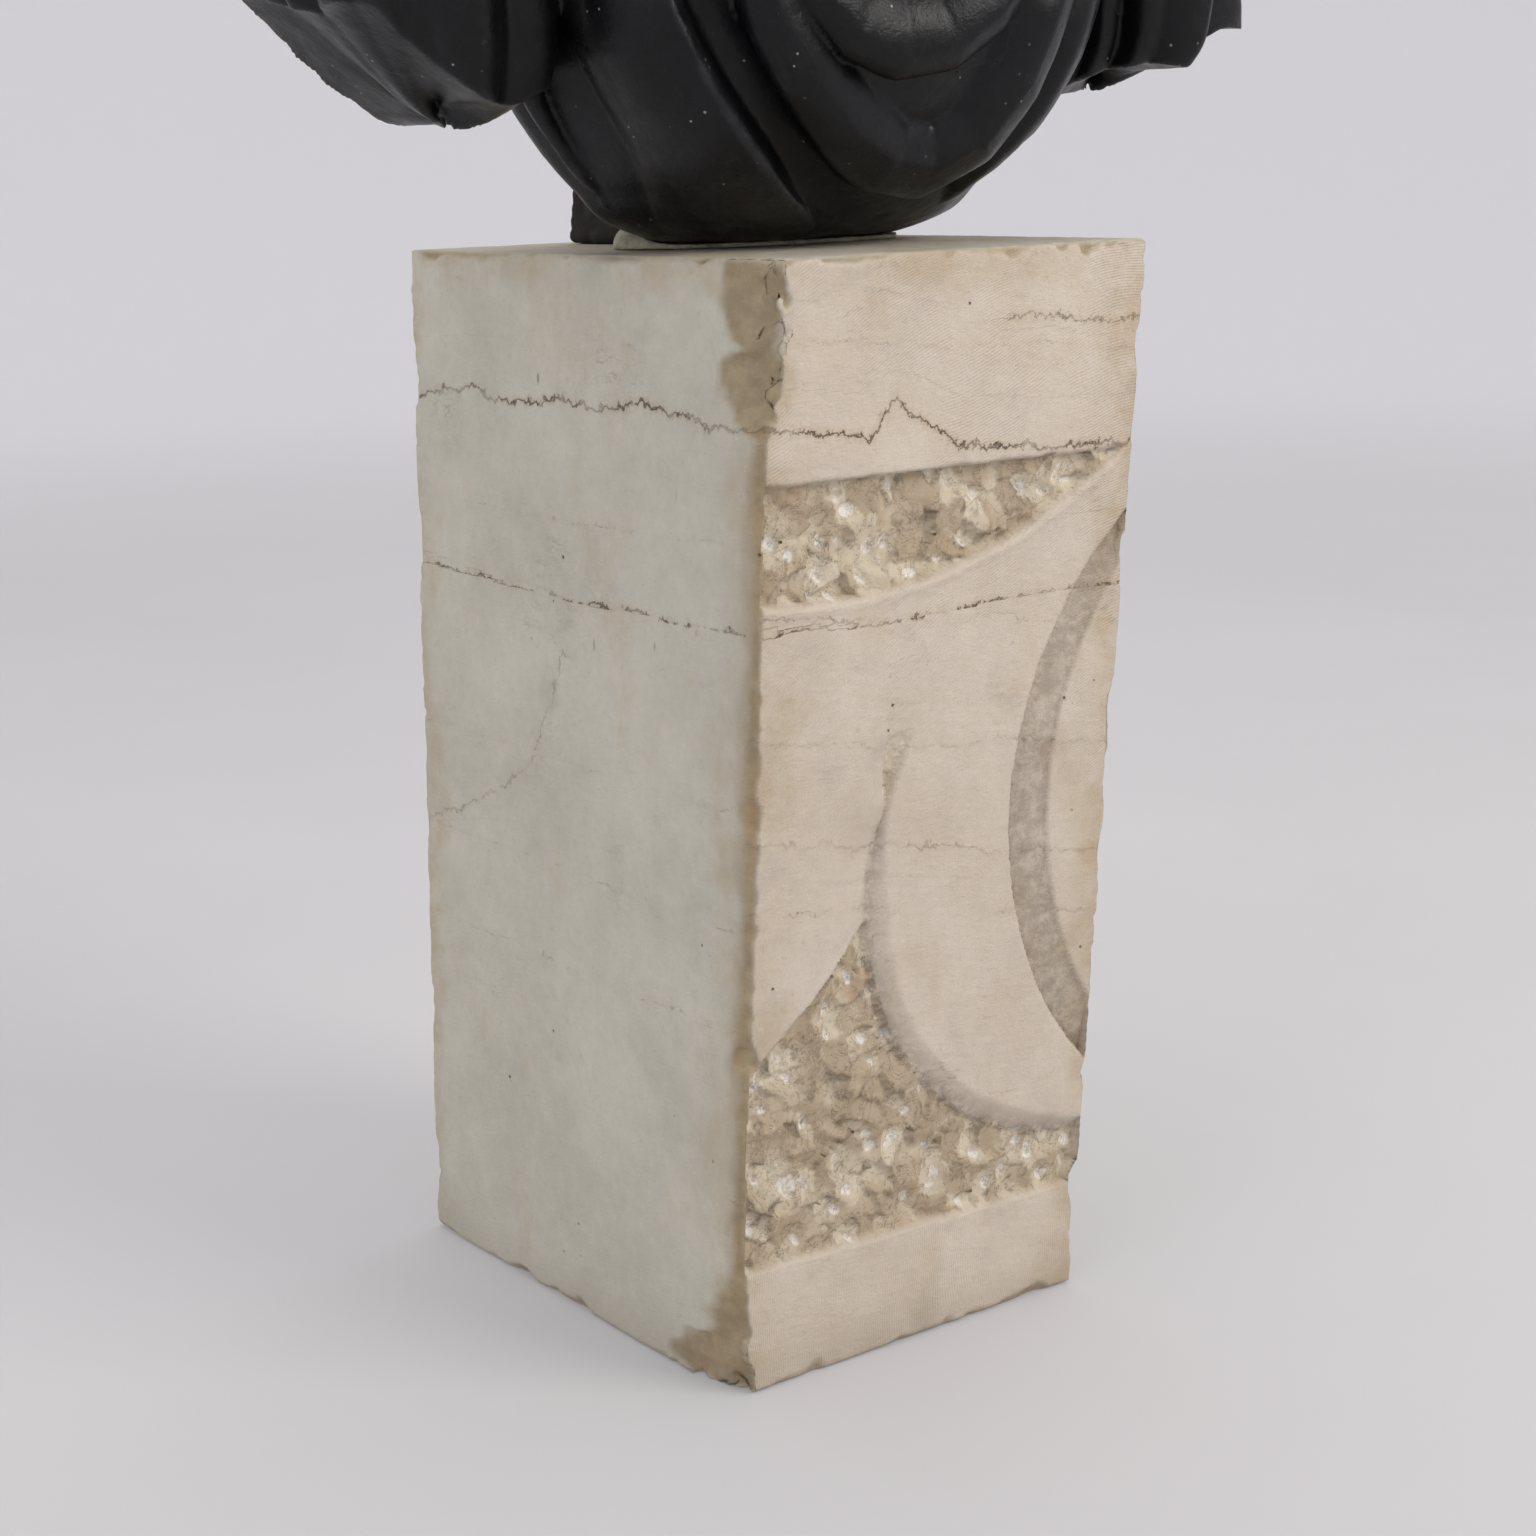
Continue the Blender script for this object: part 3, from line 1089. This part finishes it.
def build_dowels():
    made = {}
    axis = (BUST[0], BUST[1] + DOWEL_Y, 0)
    dowel, lead = dowel_profiles()
    made["bust_dowel"] = tube("bust_dowel_look", dowel, "dowel", axis, rough=0.5, seed=3)
    made["dowel_sleeve"] = tube("dowel_sleeve_look", lead, "plinth", axis, rough=0.12, seed=4)
    neck_at = (BUST[0], BUST[1] + NECK_Y, 0)
    low = COLLAR + BUST[2] - TENON_DEPTH - 3
    ring = setting_profile(low)
    made["neck_setting"] = tube("neck_setting_look", ring, "bust", neck_at, rough=0.15, seed=5)
    pin = rod(8, low - 39, low + 39, (1, 2), (1, 2))
    made["neck_dowel"] = tube("neck_dowel_look", pin, "bust", neck_at, rough=0.25, seed=6)
    across = turned(x=90)
    half = 82
    for name, height in (("pillar_pin_lower", 85.0), ("pillar_pin_upper", 215.0)):
        back = taper(PILLAR_BACK, height) - 4
        place = (BUST[0], BUST[1] + back - half - 0.5, BUST[2] + height)
        pin = rod(4.9, -half, half, (0.5, 2), (0.5, 2))
        made[name] = tube(name + "_look", pin, "bust", place, turn=across, segments=36, rough=0.15, seed=7)
    return made


def pillar_field(p):
    x, y, z = p[:, 0], p[:, 1], p[:, 2]
    front = PILLAR_FRONT - 80 * smooth(40, 70, z)
    w = 2.2 * fbm(p, 34, 2, 180) + 0.8 * noise(p, 8, 181)
    f = rounded([
        np.abs(x) - taper(PILLAR_HALF, z) + w,
        np.maximum(y - taper(PILLAR_BACK, z) + w, front - y),
        np.maximum(z - PILLAR_HEIGHT, BED - z),
    ], 4.0)
    scoop = ell(p, SCOOP, SCOOP_HALF - 0.5)
    stone = np.maximum(np.maximum(trunk(x, y, z), -scoop), -z)
    return np.maximum(f, 0.6 - stone)


def build_pillar():
    voxel = 2.4
    verts, faces = sculpt(pillar_field, (-58, -78, -8), (58, 144, 276), voxel)
    n = normals(verts, faces)
    tool = marks(verts, 0.7, 4, 25, 182, 8) * smooth(-0.2, 0.3, noise(verts, 40, 183))
    verts = verts + n * (0.35 * tool + 0.3 * fbm(verts, 6, 2, 184))[:, None]
    verts[:, 2] = np.maximum(verts[:, 2], BED)
    values = {"bulge": bulge(verts, faces, 6), "behind": np.ones(len(verts))}
    return mesh_object("support_pillar_look", verts + BUST, faces, "bust", values)


def bedding_field(p):
    x, y, z = p[:, 0], p[:, 1], p[:, 2]
    pad = np.maximum(oval(x, y, 76 + 4 * noise(p, 14, 190), 31 + 3 * noise(p, 11, 191)), z)
    mound = ell(p, (-32, 20, -2.5), (56, 40, 25)) + 2.2 * fbm(p, 18, 3, 192)
    f = join(pad, mound, 2)
    f = np.maximum(f, BED - z)
    f = np.maximum(f, 0.4 - np.maximum(trunk(x, y, z), -z))
    f = np.maximum(f, 0.5 - np.maximum(np.abs(x) - PILLAR_HALF[0] - 0.2, PILLAR_FRONT - 0.3 - y))
    return np.maximum(f, BORE + 0.1 - np.hypot(x, y - DOWEL_Y))


def build_bedding():
    voxel = 1.4
    verts, faces = sculpt(bedding_field, (-96, -44, -7), (90, 72, 30), voxel)
    verts[:, 2] = np.maximum(verts[:, 2], BED)
    return mesh_object("foot_bedding_look", verts + BUST, faces, "bust", {"bulge": bulge(verts, faces, 4)})


# ------------------------------------------------------------------ materials

class Look:
    """A short way to write a node material."""

    def __init__(self, name):
        self.material = bpy.data.materials.new(name)
        self.material.use_nodes = True
        self.nodes = self.material.node_tree.nodes
        self.links = self.material.node_tree.links
        self.nodes.clear()
        self.out = self.nodes.new("ShaderNodeOutputMaterial")
        self.shader = self.nodes.new("ShaderNodeBsdfPrincipled")
        self.links.new(self.shader.outputs[0], self.out.inputs[0])
        self.place = self.nodes.new("ShaderNodeTexCoord").outputs["Object"]

    def put(self, socket, value):
        if isinstance(value, bpy.types.NodeSocket):
            self.links.new(value, socket)
        elif isinstance(value, (tuple, list)) and len(value) == 3 and socket.type == "RGBA":
            socket.default_value = (*value, 1)
        else:
            socket.default_value = value

    def noise(self, scale, detail=4, rough=0.55, stretch=None, distortion=0.0):
        node = self.nodes.new("ShaderNodeTexNoise")
        self.put(node.inputs["Vector"], self.stretched(stretch) if stretch else self.place)
        node.inputs["Scale"].default_value = scale
        node.inputs["Detail"].default_value = detail
        node.inputs["Roughness"].default_value = rough
        node.inputs["Distortion"].default_value = distortion
        return node.outputs["Fac"]

    def stretched(self, scale, turn=(0, 0, 0)):
        node = self.nodes.new("ShaderNodeMapping")
        self.links.new(self.place, node.inputs["Vector"])
        node.inputs["Scale"].default_value = scale
        node.inputs["Rotation"].default_value = turn
        return node.outputs[0]

    def cells(self, scale, feature="F1", stretch=None):
        node = self.nodes.new("ShaderNodeTexVoronoi")
        node.feature = feature
        self.put(node.inputs["Vector"], self.stretched(stretch) if stretch else self.place)
        node.inputs["Scale"].default_value = scale
        return node.outputs["Distance"]

    def value(self, name):
        node = self.nodes.new("ShaderNodeAttribute")
        node.attribute_name = name
        return node.outputs["Fac"]

    def math(self, kind, a, b=0.0, c=0.0):
        node = self.nodes.new("ShaderNodeMath")
        node.operation = kind
        for socket, v in zip(node.inputs, (a, b, c)):
            self.put(socket, v)
        return node.outputs[0]

    def times(self, a, b):
        return self.math("MULTIPLY", a, b)

    def plus(self, a, b):
        return self.math("ADD", a, b)

    def minus(self, a, b):
        return self.math("SUBTRACT", a, b)

    def size(self, a):
        return self.math("ABSOLUTE", a)

    def where(self, *noise_and_span, **more):
        """A mask that is 1 where a noise stands above a height."""
        scale, detail, rough, low, high = noise_and_span
        return self.span(self.noise(scale, detail, rough, **more), low, high)

    def dots(self, scale, inner, outer, stretch=None):
        """A mask of round dots, one in each cell."""
        return self.span(self.cells(scale, stretch=stretch), inner, outer, 1.0, 0.0)

    def span(self, x, low, high, to_low=0.0, to_high=1.0):
        node = self.nodes.new("ShaderNodeMapRange")
        node.interpolation_type = "SMOOTHSTEP"
        for socket, v in zip(node.inputs, (x, low, high, to_low, to_high)):
            self.put(socket, v)
        return node.outputs[0]

    def mix(self, share, a, b):
        node = self.nodes.new("ShaderNodeMix")
        node.data_type = "RGBA"
        self.put(node.inputs["Factor"], share)
        self.put(node.inputs[6], a)
        self.put(node.inputs[7], b)
        return node.outputs[2]

    def tint(self, color, share, tone, strength=None):
        """A colour with a tone laid over it where share is high."""
        share = share if strength is None else self.times(share, strength)
        return self.mix(share, color, rgb(tone))

    def blend(self, share, low, high):
        return self.mix(share, rgb(low), rgb(high))

    def axis(self, k):
        node = self.nodes.new("ShaderNodeSeparateXYZ")
        self.links.new(self.place, node.inputs[0])
        return node.outputs[k]

    def bump(self, height, distance, strength=1.0, under=None):
        node = self.nodes.new("ShaderNodeBump")
        node.inputs["Distance"].default_value = distance
        node.inputs["Strength"].default_value = strength
        self.links.new(height, node.inputs["Height"])
        if under is not None:
            self.links.new(under, node.inputs["Normal"])
        return node.outputs[0]

    def finish(self, color, roughness, normal, metallic=0.0, **more):
        self.put(self.shader.inputs["Base Color"], color)
        self.put(self.shader.inputs["Roughness"], roughness)
        self.shader.inputs["Metallic"].default_value = metallic
        self.links.new(normal, self.shader.inputs["Normal"])
        for key, v in more.items():
            self.shader.inputs[key.replace("_", " ")].default_value = v
        return self.material


def rgb(text):
    """A colour as written on a colour card, made linear."""
    out = []
    for k in (0, 2, 4):
        c = int(text[k:k + 2], 16) / 255
        out.append(c / 12.92 if c <= 0.04045 else ((c + 0.055) / 1.055) ** 2.4)
    return tuple(out)


def marble_seams(look, color):
    """Jagged dark seams that break up along their length, and the mask of their lines."""
    jag = look.times(look.minus(look.noise(60, 7, 0.8), 0.5), 22.0)
    tooth = look.times(look.minus(look.cells(260, stretch=(1, 1, 0.25)), 0.5), 3.2)
    away = look.size(look.plus(look.value("vein"), look.plus(jag, tooth)))
    away = look.plus(away, look.times(look.value("weak"), look.noise(48, 4, 0.7)))
    line = look.span(away, 0.25, 1.0, 1.0, 0.0)
    broken = look.span(look.noise(31, 4, 0.7), 0.38, 0.56, 0.15, 1.0)
    strength = look.span(look.value("weak"), 0.3, 1.4, 1.0, 0.30)
    halo = look.times(look.span(away, 0.8, 5.0, 0.30, 0.0), look.times(strength, broken))
    color = look.tint(color, halo, "b59468")
    dark = look.times(line, look.times(broken, look.times(strength, 0.92)))
    return look.tint(color, dark, "4d3f32"), line


def marble_crackle(look, color):
    """A faint crackle that follows the bedding, with small pale and dark flecks, and both masks."""
    wave = look.noise(15, 9, 0.72, stretch=(1, 1, 3.0), distortion=0.3)
    crackle = look.span(look.size(look.minus(wave, 0.5)), 0.001, 0.005, 1.0, 0.0)
    crackle = look.times(crackle, look.where(11, 4, 0.65, 0.54, 0.68))
    color = look.tint(color, crackle, "7a6852", 0.34)
    fleck = look.noise(210, 5, 0.8)
    color = look.tint(color, look.span(fleck, 0.56, 0.72, 0.0, 0.30), "efe8dc")
    color = look.tint(color, look.span(fleck, 0.44, 0.30, 0.0, 0.30), "94866f")
    return color, crackle, fleck


def broken_stone(look):
    """Broken stone is darker and more yellow."""
    broke = look.blend(look.where(60, 5, 0.7, 0.35, 0.7), "8f7b5c", "ab9874")
    return look.tint(broke, look.span(look.noise(24, 4, 0.6), 0.56, 0.72, 0.0, 0.4), "a67c48")


def pointed_stone(look, mottle):
    """The roughened ground, each facet a little lighter or darker, with rusty patches."""
    tone = look.plus(look.value("facet"), look.times(look.minus(mottle, 0.5), 0.9))
    pointed = look.blend(look.span(tone, 0.15, 0.85), "b4a083", "dbceb5")
    return look.tint(pointed, look.span(look.noise(19, 4, 0.7), 0.56, 0.70, 0.0, 0.6), "9c7449")


def marble_grime(look, color, ground):
    """Bruised white spots, then grime in the cracks and along the carved lines."""
    speckle = look.where(170, 4, 0.75, 0.38, 0.54)
    chalk = look.times(look.span(look.value("bruise"), 0.1, 0.6), speckle)
    color = look.tint(color, chalk, "f6f2ea", 0.8)
    stray = look.times(look.where(120, 5, 0.8, 0.60, 0.68), ground)
    color = look.tint(color, stray, "e7dfcf", 0.6)
    patchy = look.span(look.noise(120, 5, 0.75), 0.34, 0.62, 0.25, 1.0)
    grime = look.times(look.value("dirt"), patchy)
    color = look.tint(color, grime, "64533f", 0.85)
    hair = look.size(look.minus(look.noise(66, 5, 0.7, distortion=0.8), 0.5))
    hair = look.times(look.span(hair, 0.004, 0.012, 1.0, 0.0), ground)
    return look.tint(color, hair, "5a4938", 0.55)


def marble_flaws(look, color):
    """Tiny dark pits and short ticks, and the mask of the pits."""
    pit = look.times(look.dots(95, 0.05, 0.11), look.where(24, 3, 0.6, 0.60, 0.67))
    color = look.tint(color, pit, "3a3128", 0.85)
    tick = look.times(look.dots(34, 0.02, 0.05, (1.0, 1.0, 0.35)), look.where(9, 3, 0.6, 0.5, 0.6))
    return look.tint(color, tick, "6b6150", 0.7), pit


def pale_marble():
    look = Look("pale_marble")
    ground, front = look.value("ground"), look.value("front")
    cloud = look.noise(9, 5, 0.6)
    mottle = look.noise(55, 6, 0.65)
    grain = look.noise(420, 4, 0.7)
    side = look.blend(look.span(cloud, 0.3, 0.7), "beb9a9", "cdc9ba")
    face = look.blend(look.span(cloud, 0.3, 0.7), "cdbeac", "d9ccbb")
    color = look.mix(front, side, face)
    tan = look.span(look.noise(13, 6, 0.7, stretch=(1, 1, 0.6)), 0.52, 0.72)
    color = look.tint(color, tan, "b79a74", 0.34)
    stain = look.times(look.value("stain"), look.where(18, 5, 0.7, 0.36, 0.62))
    color = look.tint(color, stain, "b09871", 0.55)
    grey = look.where(26, 5, 0.65, 0.54, 0.75)
    color = look.tint(color, grey, "a39f94", 0.32)
    color = look.tint(color, look.span(mottle, 0.40, 0.75, 0.0, 0.22), "e4dccf")
    color, line = marble_seams(look, color)
    color, crackle, fleck = marble_crackle(look, color)
    # Rust: a few blots.
    rust = look.span(look.noise(21, 7, 0.75, distortion=0.6), 0.67, 0.75)
    color = look.tint(color, rust, "8c6436", 0.5)
    # The strip beside the near edge is browner.
    color = look.tint(color, look.value("near_edge"), "96805f", 0.45)
    color = look.mix(look.times(look.value("fresh"), 0.88), color, broken_stone(look))
    color = look.mix(look.times(ground, 0.86), color, pointed_stone(look, mottle))
    color = marble_grime(look, color, ground)
    color, pit = marble_flaws(look, color)
    color = look.tint(color, look.span(look.axis(2), 0.0, 0.035, 0.25, 0.0), "8f8069")
    color = look.tint(color, look.span(grain, 0.3, 0.7, 0.0, 0.10), "8f8574")
    roughness = look.span(mottle, 0.3, 0.7, 0.56, 0.74)
    # Rasp lines sweep across the dressed parts of the front.
    stripe = look.math("SINE", look.times(look.value("rasp"), 2 * math.pi / 1.5))
    stripe = look.times(stripe, look.where(22, 4, 0.6, 0.38, 0.6))
    stripe = look.times(stripe, look.times(front, look.minus(1.0, ground)))
    height = look.plus(look.times(grain, 0.25), look.times(look.noise(900, 3, 0.6), 0.12))
    height = look.plus(height, look.times(look.noise(160, 3, 0.6, stretch=(1, 1, 6)), 0.30))
    height = look.plus(height, look.times(stripe, 0.10))
    height = look.plus(height, look.times(look.times(look.noise(90, 5, 0.65), ground), 0.9))
    height = look.minus(height, look.times(pit, 1.4))
    height = look.minus(height, look.times(line, 0.35))
    height = look.minus(height, look.times(crackle, 0.10))
    height = look.plus(height, look.times(fleck, 0.55))
    return look.finish(color, roughness, look.bump(height, 0.0011, 0.9))


def dark_marble(name, base, second, dull):
    look = Look(name)
    swell, behind = look.value("bulge"), look.value("behind")
    cloud = look.noise(12, 5, 0.6)
    mottle = look.noise(75, 6, 0.7)
    grain = look.noise(600, 3, 0.6)
    color = look.blend(look.span(cloud, 0.3, 0.7), base, second)
    worn = look.span(look.plus(swell, look.times(look.minus(mottle, 0.5), 1.4)), 0.7, 2.2)
    color = look.tint(color, worn, "3b3b3f", 0.35)
    dust = look.span(look.plus(swell, look.times(look.minus(mottle, 0.5), 0.9)), -2.2, -0.8, 1.0, 0.0)
    color = look.tint(color, dust, "2e2924", 0.18)
    vein_source = look.size(look.minus(look.noise(7, 6, 0.6, distortion=1.2), 0.5))
    vein = look.span(vein_source, 0.0, 0.012, 1.0, 0.0)
    vein = look.times(vein, look.where(11, 3, 0.5, 0.5, 0.62))
    color = look.tint(color, vein, "4a4a50", 0.10)
    speck = look.dots(130, 0.06, 0.12)
    some = look.where(40, 3, 0.6, 0.53, 0.60)
    white = look.times(speck, some)
    color = look.tint(color, white, "a79f90", 0.8)
    crust = look.times(look.where(95, 6, 0.8, 0.64, 0.70), look.where(9, 3, 0.5, 0.54, 0.64))
    color = look.tint(color, crust, "6b6355", 0.6)
    hole = look.times(look.dots(60, 0.03, 0.07), look.where(17, 3, 0.6, 0.56, 0.62))
    color = look.tint(color, hole, "060606")
    color = look.tint(color, behind, "2c2a29", 0.25)
    roughness = look.span(mottle, 0.3, 0.7, 0.27 + dull, 0.43 + dull)
    roughness = look.plus(roughness, look.times(behind, 0.16))
    roughness = look.plus(roughness, look.times(dust, 0.14))
    height = look.plus(look.times(mottle, 0.5), look.times(grain, 0.16))
    height = look.plus(height, look.times(look.noise(220, 4, 0.65), 0.35))
    height = look.minus(height, look.times(hole, 1.6))
    normal = look.bump(height, 0.0009, 0.8)
    return look.finish(color, roughness, normal, Specular_IOR_Level=0.25)


def plaster():
    look = Look("old_plaster")
    swell = look.value("bulge")
    cloud = look.noise(60, 6, 0.7)
    color = look.blend(look.span(cloud, 0.3, 0.7), "8f8b78", "bdb9a3")
    color = look.tint(color, look.span(look.noise(28, 5, 0.7), 0.5, 0.7, 0.0, 0.7), "4c4438")
    color = look.tint(color, look.span(swell, -0.8, -0.1, 0.7, 0.0), "332c24")
    height = look.plus(look.noise(260, 5, 0.7), look.times(cloud, 1.5))
    return look.finish(color, 0.9, look.bump(height, 0.0016, 0.9))


def old_metal(name, low, high, rust, metallic, roughness):
    look = Look(name)
    cloud = look.noise(70, 6, 0.7)
    color = look.blend(look.span(cloud, 0.3, 0.7), low, high)
    color = look.tint(color, look.span(look.noise(38, 6, 0.7), 0.45, 0.62, 0.0, 0.9), rust)
    height = look.plus(look.noise(300, 5, 0.7), look.cells(240))
    rough = look.span(cloud, 0.3, 0.7, roughness - 0.1, roughness + 0.15)
    return look.finish(color, rough, look.bump(height, 0.0006, 0.8), metallic)


def floor_paint():
    look = Look("studio_floor")
    low = look.blend(look.where(1.4, 4, 0.6, 0.3, 0.7), "b4b2b3", "b7b5b6")
    x, y = look.axis(0), look.axis(1)
    square = look.plus(look.times(x, x), look.times(y, y))
    color = look.tint(low, look.span(square, 0.5, 28.0), "dddcde")
    return look.finish(
        color, 0.85, look.bump(look.noise(40, 4, 0.6), 0.0004, 0.3),
        Emission_Color=(0.80, 0.79, 0.81, 1), Emission_Strength=0.16,
    )


# ------------------------------------------------------------------ the object

SLOTS = {
    "plinth_block": "pale_marble", "torso": "black_marble", "head": "black_marble",
    "support_pillar": "brown_stone", "foot_bedding": "plaster", "neck_setting": "plaster",
    "dowel_sleeve": "lead", "bust_dowel": "iron", "neck_dowel": "iron",
    "pillar_pin_lower": "iron", "pillar_pin_upper": "iron",
}
made = {
    "plinth_block": build_block(),
    "torso": build_torso(),
    "head": build_head(),
    "support_pillar": build_pillar(),
    "foot_bedding": build_bedding(),
    **build_dowels(),
}
looks = {
    "pale_marble": pale_marble(),
    "black_marble": dark_marble("black_marble", "09090b", "121215", 0.0),
    "brown_stone": dark_marble("brown_stone", "1b1412", "261d1b", 0.16),
    "plaster": plaster(),
    "lead": old_metal("lead", "5b5e61", "7d8083", "a5a39b", 0.7, 0.55),
    "iron": old_metal("iron", "33291f", "4d4339", "6b3f22", 0.5, 0.7),
}
for node, obj in made.items():
    obj.data.materials.clear()
    obj.data.materials.append(looks[SLOTS[node]])
    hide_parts(node)

# ------------------------------------------------------------------ floor, light and camera

def backdrop():
    """A round floor that sweeps up into a wall on every side."""
    flat, sweep, top = 5.0, 2.5, 9.0
    profile = [(r, 0.0) for r in np.linspace(0.01, flat, 12)]
    profile += [
        (flat + sweep * math.sin(a), sweep * (1 - math.cos(a))) for a in np.linspace(0.1, math.pi / 2, 14)
    ]
    profile.append((flat + sweep, top))
    segments = 96
    verts = [
        (r * math.cos(a), r * math.sin(a), z - 0.0006)
        for a in np.arange(segments) / segments * 2 * math.pi for r, z in profile
    ]
    rows = len(profile)
    faces = [
        (i * rows + j, (i + 1) % segments * rows + j, (i + 1) % segments * rows + j + 1, i * rows + j + 1)
        for i in range(segments) for j in range(rows - 1)
    ]
    mesh = bpy.data.meshes.new("floor")
    mesh.from_pydata(verts, [], faces)
    mesh.shade_smooth()
    mesh.materials.append(floor_paint())
    obj = bpy.data.objects.new("floor", mesh)
    bpy.context.scene.collection.objects.link(obj)
    return obj


floor = backdrop()

scene = bpy.context.scene
world = bpy.data.worlds.new("studio")
scene.world = world
world.use_nodes = True
world.node_tree.nodes["Background"].inputs[0].default_value = (0.90, 0.905, 0.93, 1)
world.node_tree.nodes["Background"].inputs[1].default_value = 0.75


def area_light(name, place, target, size, power, color):
    data = bpy.data.lights.new(name, "AREA")
    data.shape = "RECTANGLE"
    data.size, data.size_y = size
    data.energy = power
    data.color = color
    obj = bpy.data.objects.new(name, data)
    obj.location = place
    obj.rotation_euler = (Vector(target) - Vector(place)).to_track_quat("-Z", "Y").to_euler()
    scene.collection.objects.link(obj)
    return obj


area_light("key", (1.5, -2.6, 2.5), (0, 0, 0.6), (1.6, 1.6), 60, (1.0, 0.965, 0.92))
area_light("fill", (-3.2, -0.6, 2.0), (0, 0, 0.6), (2.6, 2.6), 26, (0.93, 0.96, 1.0))
area_light("top", (0.4, 0.6, 3.4), (0, 0, 0.8), (2.4, 2.4), 30, (1.0, 0.98, 0.96))

CAMERA_PLACE = Vector((-0.7676, -1.0869, 0.6301))
CAMERA_AZIMUTH = -36.2
CAMERA_ELEVATION = 14.2
CAMERA_ROLL = -1.54
CAMERA_LENS = 57.45
azimuth, elevation = math.radians(CAMERA_AZIMUTH), math.radians(CAMERA_ELEVATION)
toward_camera = Vector((
    math.sin(azimuth) * math.cos(elevation),
    -math.cos(azimuth) * math.cos(elevation),
    math.sin(elevation),
))
right = Vector((math.cos(azimuth), math.sin(azimuth), 0))
up = toward_camera.cross(right)
roll = math.radians(CAMERA_ROLL)
right, up = right * math.cos(roll) + up * math.sin(roll), up * math.cos(roll) - right * math.sin(roll)
camera_data = bpy.data.cameras.new("camera")
camera_data.lens = CAMERA_LENS
camera_data.sensor_width = 36
camera = bpy.data.objects.new("camera", camera_data)
turn = Matrix((right, up, toward_camera)).transposed().to_4x4()
camera.matrix_world = Matrix.Translation(CAMERA_PLACE) @ turn
scene.collection.objects.link(camera)
scene.camera = camera
scene.view_settings.view_transform = "Standard"
